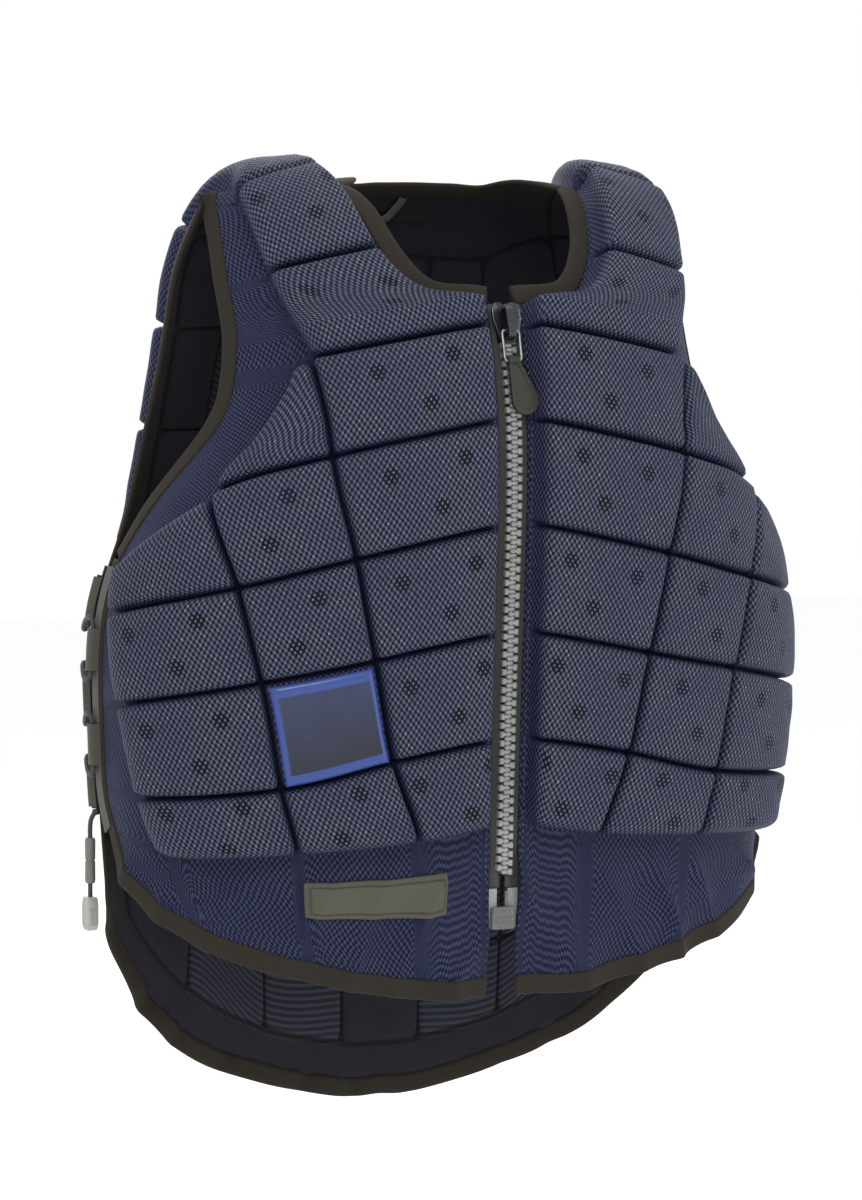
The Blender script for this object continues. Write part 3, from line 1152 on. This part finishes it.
def makeRing():
    r = ringPiece
    h, c, run = r["half"], r["corner"], slider["ringRun"]
    path = []
    for x, y, start in ((h - c, -c, 0), (-h + c, -c, 90), (-h + c, -run + c, 180), (h - c, -run + c, 270)):
        for k in range(r["steps"] + 1):
            a = math.radians(start + 90 * k / r["steps"])
            path.append((x + c * math.cos(a), y + c * math.sin(a), 0))
    path = np.array(path)
    ahead = unit(np.roll(path, -1, axis=0) - np.roll(path, 1, axis=0))
    sideways = np.cross(ahead, (0, 0, 1))
    angles = np.arange(r["around"]) * tau / r["around"]
    bm = bmesh.new()
    rings = ringsOf(path * mm, np.tile([0, 0, 1], (len(path), 1)), sideways,
                    [(r["wire"] * math.cos(a), r["wire"] * math.sin(a)) for a in angles])
    sweep(bm, path * mm, rings, loop=True)
    seal(bm)
    bmesh.ops.transform(bm, matrix=ringFrame, verts=bm.verts)
    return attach(finishMesh("pullRing", bm, "ring"), "pull_ring")


tabPiece = dict(neck=3.4, round=8.4, long=24, thick=3, bevel=0.7, rim=1.7, slope=0.5, dish=0.6, swing=14,
                steps=28, head=2.6, headRound=0.5, headWide=7.2, headSteps=24, bore=1.25)


def makeTab():
    t = tabPiece
    lean = math.asin((t["round"] - t["neck"]) / t["long"])
    outline = [(-t["neck"], 0)]
    for k in range(t["steps"] + 1):
        a = math.pi - lean + (math.pi + 2 * lean) * k / t["steps"]
        outline.append((t["round"] * math.cos(a), -t["long"] + t["round"] * math.sin(a)))
    outline.append((t["neck"], 0))
    bm = bmesh.new()
    prism(bm, outline, -t["thick"] / 2, t["thick"] / 2)
    rimEdges = [e for e in bm.edges if abs(e.verts[0].co.z - e.verts[1].co.z) < 1e-6]
    roundEdges(bm, rimEdges, t["bevel"], 3)
    for sign in (1, -1):
        dish(bm, sign, 1e-4, t["rim"], 0)
        dish(bm, sign, 1e-4, t["slope"], t["dish"])
    swing = Matrix.Rotation(math.radians(t["swing"]), 4, "Z")
    bmesh.ops.transform(bm, matrix=tabFrame @ swing, verts=bm.verts)
    plate = finishMesh("pullTab", bm, "rubber", sharp=45)
    # the rolled head that turns on the ring
    half, soft = t["headWide"] / 2, t["headRound"]
    outline = [(-half, t["bore"]), (-half, t["head"] - soft), (-half + soft, t["head"]),
               (half - soft, t["head"]), (half, t["head"] - soft), (half, t["bore"])]
    bm = turned([(x * mm, y * mm, 0) for x, y in outline], (1, 0, 0), t["headSteps"])
    bmesh.ops.transform(bm, matrix=tabFrame, verts=bm.verts)
    head = finishMesh("pullTabHead", bm, "rubber", sharp=40)
    for obj in (plate, head):
        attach(obj, "pull_tab")
    return plate


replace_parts(makeRing(), "pull_ring")
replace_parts(makeTab(), "pull_tab")

# blocks are (middle, size, bevel, segments), from the stop's own centre
stopPiece = dict(at=12.3, blocks=[
    ((0, -5.5, 2.0), (14.6, 13, 6.4), 0.9, 3), ((0, -7.84, 5.2), (11.6, 0.9, 0.7), 0.2, 1),
    ((0, -4.64, 5.2), (11.6, 0.9, 0.7), 0.2, 1), ((0, 0.4, 5.0), (14, 2.0, 1.0), 0.35, 2),
    ((1.9, 5.4, 3.0), (1.6, 10.5, 1.9), 0.4, 2)],
    films=[((x, 0.3, 1.725), (6.4, 23, 0.55), 0.2, 1) for x in (-6.6, 6.6)])


def makeStop():
    made = []
    for name, key, material in (("zipStop", "blocks", "stop"), ("zipFilms", "films", "film")):
        bm = bmesh.new()
        for block in stopPiece[key]:
            addBlock(bm, *block)
        seal(bm)
        bmesh.ops.transform(bm, matrix=zipFrame(zipPiece["teethEnd"] + stopPiece["at"] / length),
                            verts=bm.verts)
        made.append(finishMesh(name, bm, material, sharp=35))
    return made[0]


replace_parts(makeStop(), "zip_stop")
print("zip")

# Clear pocket, rubber patch, neck label and hanging loop

def draped(cover, rows, cols, liftOf):
    # points over a cover, lifted by how far down and across the piece they are, as shares from 0 to 1
    grid = np.zeros((len(rows), len(cols), 3))
    for i, r in enumerate(rows):
        for j, c in enumerate(cols):
            grid[i, j] = cover.at(r, c, liftOf(i / (len(rows) - 1), j / (len(cols) - 1)))
    return grid


def drapedSheet(name, cover, side, piece, lowOf, highOf, rimOf, material):
    rows, cols = (np.linspace(*piece[key], count) for key, count in zip(("rows", "cols"), piece["count"]))
    low, high = (flipped(draped(cover, rows, cols, liftOf), side) for liftOf in (lowOf, highOf))
    wide, tall, _ = sizeOf(low)
    u, v = np.meshgrid(np.linspace(0, wide / mm, len(cols)), np.linspace(0, tall / mm, len(rows)))
    fromTop = np.minimum(v, tall / mm - v)
    fromSide = np.minimum(u, wide / mm - u)
    fields = dict(rim=rimOf(np.minimum(fromTop, fromSide), fromTop)) if rimOf else {}
    return closedSheet(name, high, low, cornerUvs(u, v), fields, material), wide, tall


windowPiece = dict(rows=(10.045, 10.97), cols=(1.05, 1.965), count=(40, 30), low=18.7, thick=1.0, dome=0.9,
                   drop=1.6, edge=0.05, weld=0.35, weldWide=0.03, frame=2.2, frameTop=6.2, frameSoft=1.2)


def makeWindow():
    w = windowPiece

    def lowOf(s, t):
        edge = min(s, 1 - s, (t if t < 0.5 else 1 - t) * 0.85)
        dome = w["dome"] * math.sin(math.pi * s) * math.sin(math.pi * t)
        weld = w["weld"] * math.exp(-((edge - w["edge"]) / w["weldWide"]) ** 2)
        return w["low"] + dome + weld - w["drop"] * max(0, 1 - edge / w["edge"]) ** 2

    def highOf(s, t):
        return lowOf(s, t) + w["thick"]

    def rimOf(near, fromTop):
        return np.clip(np.maximum(1 - (near - w["frame"]) / w["frameSoft"],
                                  1 - (fromTop - w["frameTop"]) / w["frameSoft"]), 0, 1)

    obj, _, _ = drapedSheet("pocketWindow", covers[-1], -1, w, lowOf, highOf, rimOf, "clear")
    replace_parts(obj, "pocket_window")


patchPiece = dict(rows=(12.4, 12.92), cols=(0.66, 1.97), count=(36, 60), low=2.35, high=3.4, dome=0.45,
                  rim=0.35, rimWide=2.6, tall=28, wide=55, seamAt=3.4, seamSoft=0.5, inset=0.06,
                  stitchHigh=4.15, stitches=(20, 9), stitchSize=(1.0, 0.32, 0.3))


def makePatch():
    p = patchPiece

    def highOf(s, t):
        dome = min(1, min(s, 1 - s) / 0.03, min(t, 1 - t) / 0.02)
        onRim = min(min(s, 1 - s) * p["tall"], min(t, 1 - t) * p["wide"]) < p["rimWide"]
        return p["high"] + p["dome"] * dome + (p["rim"] if onRim else 0)

    def rimOf(near, _):
        return np.exp(-((near - p["seamAt"]) / p["seamSoft"]) ** 2)

    obj, _, _ = drapedSheet("rubberPatch", covers[-1], -1, p, lambda s, t: p["low"], highOf, rimOf,
                            "patch")
    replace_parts(obj, "rubber_patch")


def makePatchStitches():
    # just inside the patch's rim, corner by corner
    p = patchPiece
    bm = bmesh.new()
    low, high = p["inset"], 1 - p["inset"]
    corners = [(low, low / 2), (low, 1 - low / 2), (high, 1 - low / 2), (high, low / 2)]
    for (s0, t0), (s1, t1) in zip(corners, corners[1:] + corners[:1]):
        isAcross = s0 == s1
        count = p["stitches"][0 if isAcross else 1]
        size = p["stitchSize"] if isAcross else (p["stitchSize"][1], p["stitchSize"][0], p["stitchSize"][2])
        for k in range(count):
            m = (k + 0.5) / count
            row = p["rows"][0] + (p["rows"][1] - p["rows"][0]) * (s0 + (s1 - s0) * m)
            col = p["cols"][0] + (p["cols"][1] - p["cols"][0]) * (t0 + (t1 - t0) * m)
            here, beside, below = (covers[-1].at(row + dr, col + dc, p["stitchHigh"])
                                   for dr, dc in ((0, 0), (0, 0.002), (0.004, 0)))
            x, y = Vector(beside - here).normalized(), Vector(here - below).normalized()
            turn = Matrix((x, y, x.cross(y))).transposed().to_4x4()
            addStitch(bm, Matrix.Diagonal((-1, 1, 1, 1)) @ Matrix.Translation(here) @ turn, size)
    bmesh.ops.recalc_face_normals(bm, faces=bm.faces)
    finishMesh("patchStitches", bm, "thread")


labelPiece = dict(rows=(0.42, 1), cols=(4.27, 5.73), count=(24, 40), high=-0.35, low=-1.15, wave=0.25)


def makeLabel():
    # on the lining, so its lifts are below the form; its loose lower end waves
    p = labelPiece
    (firstRow, lastRow), (firstCol, lastCol) = p["rows"], p["cols"]

    def wave(s, t):
        row, col = firstRow + (lastRow - firstRow) * s, firstCol + (lastCol - firstCol) * t
        return p["wave"] * math.sin(col * 9) * (row - 0.4)

    obj, wide, tall = drapedSheet("neckLabel", covers[0], 1, p, lambda s, t: p["low"] + wave(s, t),
                                  lambda s, t: p["high"] + wave(s, t) * 0.2, None, "label")
    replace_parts(obj, "neck_label")


# spots are (line, row, depth below the form), the section (across, up)
loopPiece = dict(stations=60, spots=[(3.5, 0.08, 0.4), (3.6, 0.4, 1.6), (3.9, 0.8, 3.6), (4.45, 0.8, 3.6),
                                     (4.75, 0.34, 1.8), (4.85, 0.08, 0.4)],
                 section=[(-3, -0.5), (-2.6, 0), (2.6, 0), (3, -0.5), (2.6, -1), (-2.6, -1)])


def makeLoop():
    spots = np.array(loopPiece["spots"])
    fine = weights(len(spots), np.linspace(0, len(spots) - 1, loopPiece["stations"])) @ spots
    points = np.array([covers[0].at(row, col, -depth) for col, row, depth in fine])
    normals = np.array([planLine(back, [row], [col])[1][0] for col, row, _ in fine])
    out = unit(np.cross(np.gradient(points, axis=0), normals))
    rings = ringsOf(points, normals, out, loopPiece["section"])
    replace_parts(sweptPiece("hangLoop", points, rings, "webbing"), "hang_loop")


makeWindow()
makePatch()
makePatchStitches()
makeLabel()
makeLoop()
print("window, patch and label")

# Side lacing: ribbed sleeves on both edges and the elastic cord through them

# front and back are the sleeves' places as shares of the laced edge; the strip's section is (outwards, up)
lacePiece = dict(radius=1.4, strip=(0.03, 0.96), low=3.7, high=8.9, inner=4.0, outer=13.0, half=12,
                 hollow=0.74, front=(0.33, 0.67), back=(0.155, 0.5, 0.85), inwards=8.5, lift=6.15,
                 reach=13.5, bend=16, bow=4.5, curve=(0.15, 0.35, 0.5, 0.65, 0.85), step=1.2,
                 stripSection=[(3.4, 3.0), (13.6, 3.0), (13.8, 3.4), (13.6, 3.8), (3.4, 3.8), (3.2, 3.4)])


class LacedEdge:
    def __init__(self, plan, line, rows, sign):
        self.points, self.normals = planLine(plan, dense(*rows, 260), line)
        self.arc = arcOf(self.points)
        self.out = waysOut(self.points, self.normals, sign, 9)

    def at(self, shares):
        places = np.asarray(shares) * self.arc[-1]
        return [along(places, self.arc, values) for values in (self.points, self.normals, self.out)]


laceEdges = dict(front=LacedEdge(front, 4, (8, 12), -1), back=LacedEdge(back, 10, (6, 10), 1))


def laceRoute():
    # straight in each sleeve, from back to front and down, and bowed outwards from one to the next
    s = lacePiece
    points, leave = [], None
    stops = sorted([(place, "back") for place in s["back"]] + [(place, "front") for place in s["front"]])
    for place, which in stops:
        edge = laceEdges[which]
        step = s["reach"] * mm / edge.arc[-1]
        p, n, o = edge.at([place - step, place, place + step])
        spots = p + (o * s["inwards"] + n * s["lift"]) * mm
        run = unit(spots[2] - spots[0])
        bowed = n[1] * s["bow"] * mm
        if leave is not None:
            last, arrive = points[-1], spots[0] - run * s["bend"] * mm + bowed
            points += [(1 - t) ** 3 * last + 3 * (1 - t) ** 2 * t * leave + 3 * (1 - t) * t * t * arrive
                       + t ** 3 * spots[0] for t in s["curve"]]
        points += list(spots)
        leave = spots[2] + run * s["bend"] * mm + bowed
    return np.array(points)


laceLine = laceRoute()


def sleeveSection():
    # a hollow arch: outside from one foot to the other, and back along the inside
    low, high, a, c = (lacePiece[key] for key in ("low", "high", "inner", "outer"))
    outer = [(a - 0.6, low), (a, low + 1.6), (a + 0.5, high - 1.6), (a + 1.9, high - 0.3),
             ((a + c) / 2, high), (c - 1.9, high - 0.3), (c - 0.5, high - 1.6), (c, low + 1.6),
             (c + 0.6, low)]
    middle = np.array([(a + c) / 2, (low + high) / 2 - 0.3])
    inner = [tuple(middle + (np.array(p) - middle) * lacePiece["hollow"]) for p in reversed(outer)]
    for k in (0, -1):
        inner[k] = (inner[k][0], low + 0.35)
    return outer + inner


def makeSleeves(word, side, which):
    s, edge = lacePiece, laceEdges[which]
    share = s["half"] * mm / edge.arc[-1]
    bands = [(*s["strip"], 90, s["stripSection"])]
    bands += [(place - share, place + share, 16, sleeveSection()) for place in s[which]]
    bm = bmesh.new()
    for first, last, count, section in bands:
        points, normals, out = edge.at(np.linspace(first, last, count))
        sweep(bm, flipped(points, side), flipped(ringsOf(points, normals, out, section), side))
    seal(bm)
    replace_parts(finishMesh(f"{which}LaceSleeves.{word}", bm, "webbing", sharp=60),
                f"{which}_lace_sleeves_{word}")


for side, word in sides:
    for which in ("front", "back"):
        makeSleeves(word, side, which)
    line = flipped(throughPoints(laceLine, lacePiece["step"]), side)
    cord = sweptPiece(f"sideLace.{word}", line, ringAround(line, lacePiece["radius"]), "cord")
    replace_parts(cord, f"lace_{word}")
print("lacing")

# The free ends of the side cords: they hang beside the gusset with a barrel toggle and a clip

tail = dict(radius=1.4, gap=0.6, lead=2, hang=(2, 2, -2), settle=0.4, step=1.0,
            drops=[2.5, 7.8, 10.4, 13, 17.5, 22, 26.5, 31, 35.5, 40, 43.5, 48])
lockPiece = dict(drop=13, long=27, radius=3.1, play=0.15, steps=28)
clipPiece = dict(long=20, wide=13, neck=9, thick=6.4, corner=3, shoulder=4, bevel=0.9, rim=1.6, dish=0.7,
                 ribs=7, ribTop=6, ribPitch=1.7)


def tailPath(side):
    # from the lace's end on for a little, then straight down
    run = unit(laceLine[-1] - laceLine[-2])
    begin = laceLine[-1] + run * tail["gap"] * mm
    top = begin + run * tail["lead"] * mm
    hang = top + np.array(tail["hang"]) * mm
    points = [begin, top] + [hang - np.array([0, 0, drop]) * mm for drop in tail["drops"]]
    points[2] = points[2] - np.array([tail["settle"], tail["settle"], 0]) * mm
    return flipped(np.array(points), side)


def makeLock(name, side):
    x, y, z = tailPath(side)[-1]
    top = z + (tail["drops"][-1] - lockPiece["drop"]) * mm
    r, half = lockPiece["radius"], lockPiece["long"] / 2
    hole = tail["radius"] + lockPiece["play"]
    upper = [(r * 0.84, 0.4), (r * 0.97, 0.7), (r, half * 0.6), (r, half - 2), (r * 0.93, half - 0.6),
             (r * 0.72, half), (hole, half)]
    outline = [(px, -pz) for px, pz in reversed(upper)] + upper
    bm = turned([(px * mm, 0, pz * mm) for px, pz in outline], (0, 0, 1), lockPiece["steps"])
    bmesh.ops.translate(bm, vec=(x, y, top - half * mm), verts=bm.verts)
    return finishMesh(name, bm, "toggle", sharp=40)


def makeClip(name, side):
    x, y, z = tailPath(side)[-1]
    p = clipPiece
    w, n, c, long, shoulder = p["wide"] / 2, p["neck"] / 2, p["corner"], p["long"], p["shoulder"]
    outline = [(-n, 0), (n, 0), (w, -shoulder), (w, c - long), (w - c, -long), (c - w, -long), (-w, c - long),
               (-w, -shoulder)]
    bm = bmesh.new()
    prism(bm, outline, -p["thick"] / 2, p["thick"] / 2)
    roundEdges(bm, list(bm.edges), p["bevel"])
    for sign in (1, -1):
        dish(bm, sign, 1e-5, p["rim"], p["dish"])
    for k in range(p["ribs"]):  # grip ribs down both narrow sides
        for sign in (-1, 1):
            addBlock(bm, (sign * w, -p["ribTop"] - k * p["ribPitch"], 0), (1.0, 0.8, 4.6), 0.25, 1)
    # outline x runs along the gusset (world Y), y upwards, the thickness across
    turn = Matrix(((0, 0, side, 0), (1, 0, 0, 0), (0, 1, 0, 0), (0, 0, 0, 1)))
    bmesh.ops.transform(bm, matrix=Matrix.Translation((x, y, z)) @ turn, verts=bm.verts)
    bmesh.ops.recalc_face_normals(bm, faces=bm.faces)
    return finishMesh(name, bm, "clip", sharp=35)


for side, word in sides:
    path = tailPath(side)
    line = throughPoints(path, tail["step"])
    cord = sweptPiece(f"cordTail.{word}", line, ringAround(line, tail["radius"]), "cord")
    lock, clip = makeLock(f"barrelToggle.{word}", side), makeClip(f"cordEnd.{word}", side)
    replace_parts(cord, f"lace_tail_{word}")
    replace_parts(lock, f"lace_lock_{word}")
    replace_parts(clip, f"cord_clip_{word}")
    [tuple(p) for p in line[::3]] + [tuple(line[-1])]
print("cords")

# Floor, world and lights

# lights are (name, place, size, power, what it looks at)
stage = dict(floor=-0.78, size=14, low=linear(250, 250, 250), high=linear(253, 253, 253),
             lights=[("keyLight", (-0.9, -2.0, 1.5), 1.0, 20, (0, 0, -0.25)),
                     ("fillLight", (1.9, -1.4, 0.2), 1.6, 8, (0, 0, -0.25)),
                     ("topLight", (0.1, 0.3, 2.0), 1.6, 12, (0, 0, -0.2)),
                     ("rearLight", (0.6, 2.4, 0.8), 1.6, 18, (0, 0, -0.25))])


def makeStage():
    bm = bmesh.new()
    bmesh.ops.create_grid(bm, x_segments=8, y_segments=8, size=stage["size"] / 2,
                          matrix=Matrix.Translation((0, 0, stage["floor"])))
    mesh = bpy.data.meshes.new("floor")
    bm.to_mesh(mesh)
    bm.free()
    kit = Kit("paleFloor")
    colour = kit.blend(kit.noise(kit.place(), 3.0), stage["low"], stage["high"])
    mesh.materials.append(kit.finish(colour, 0.9))
    link(bpy.data.objects.new("floor", mesh))
    world = bpy.data.worlds.new("studio")
    world.use_nodes = True
    background = world.node_tree.nodes["Background"]
    background.inputs[0].default_value = (1, 1, 1, 1)
    background.inputs[1].default_value = 1.0
    bpy.context.scene.world = world
    bpy.context.scene.view_settings.view_transform = "Standard"
    for name, place, size, power, target in stage["lights"]:
        data = bpy.data.lights.new(name, "AREA")
        data.size, data.energy = size, power
        obj = link(bpy.data.objects.new(name, data))
        way = (Vector(target) - Vector(place)).normalized()
        obj.matrix_world = Matrix.Translation(place) @ way.to_track_quat("-Z", "Y").to_matrix().to_4x4()


makeStage()
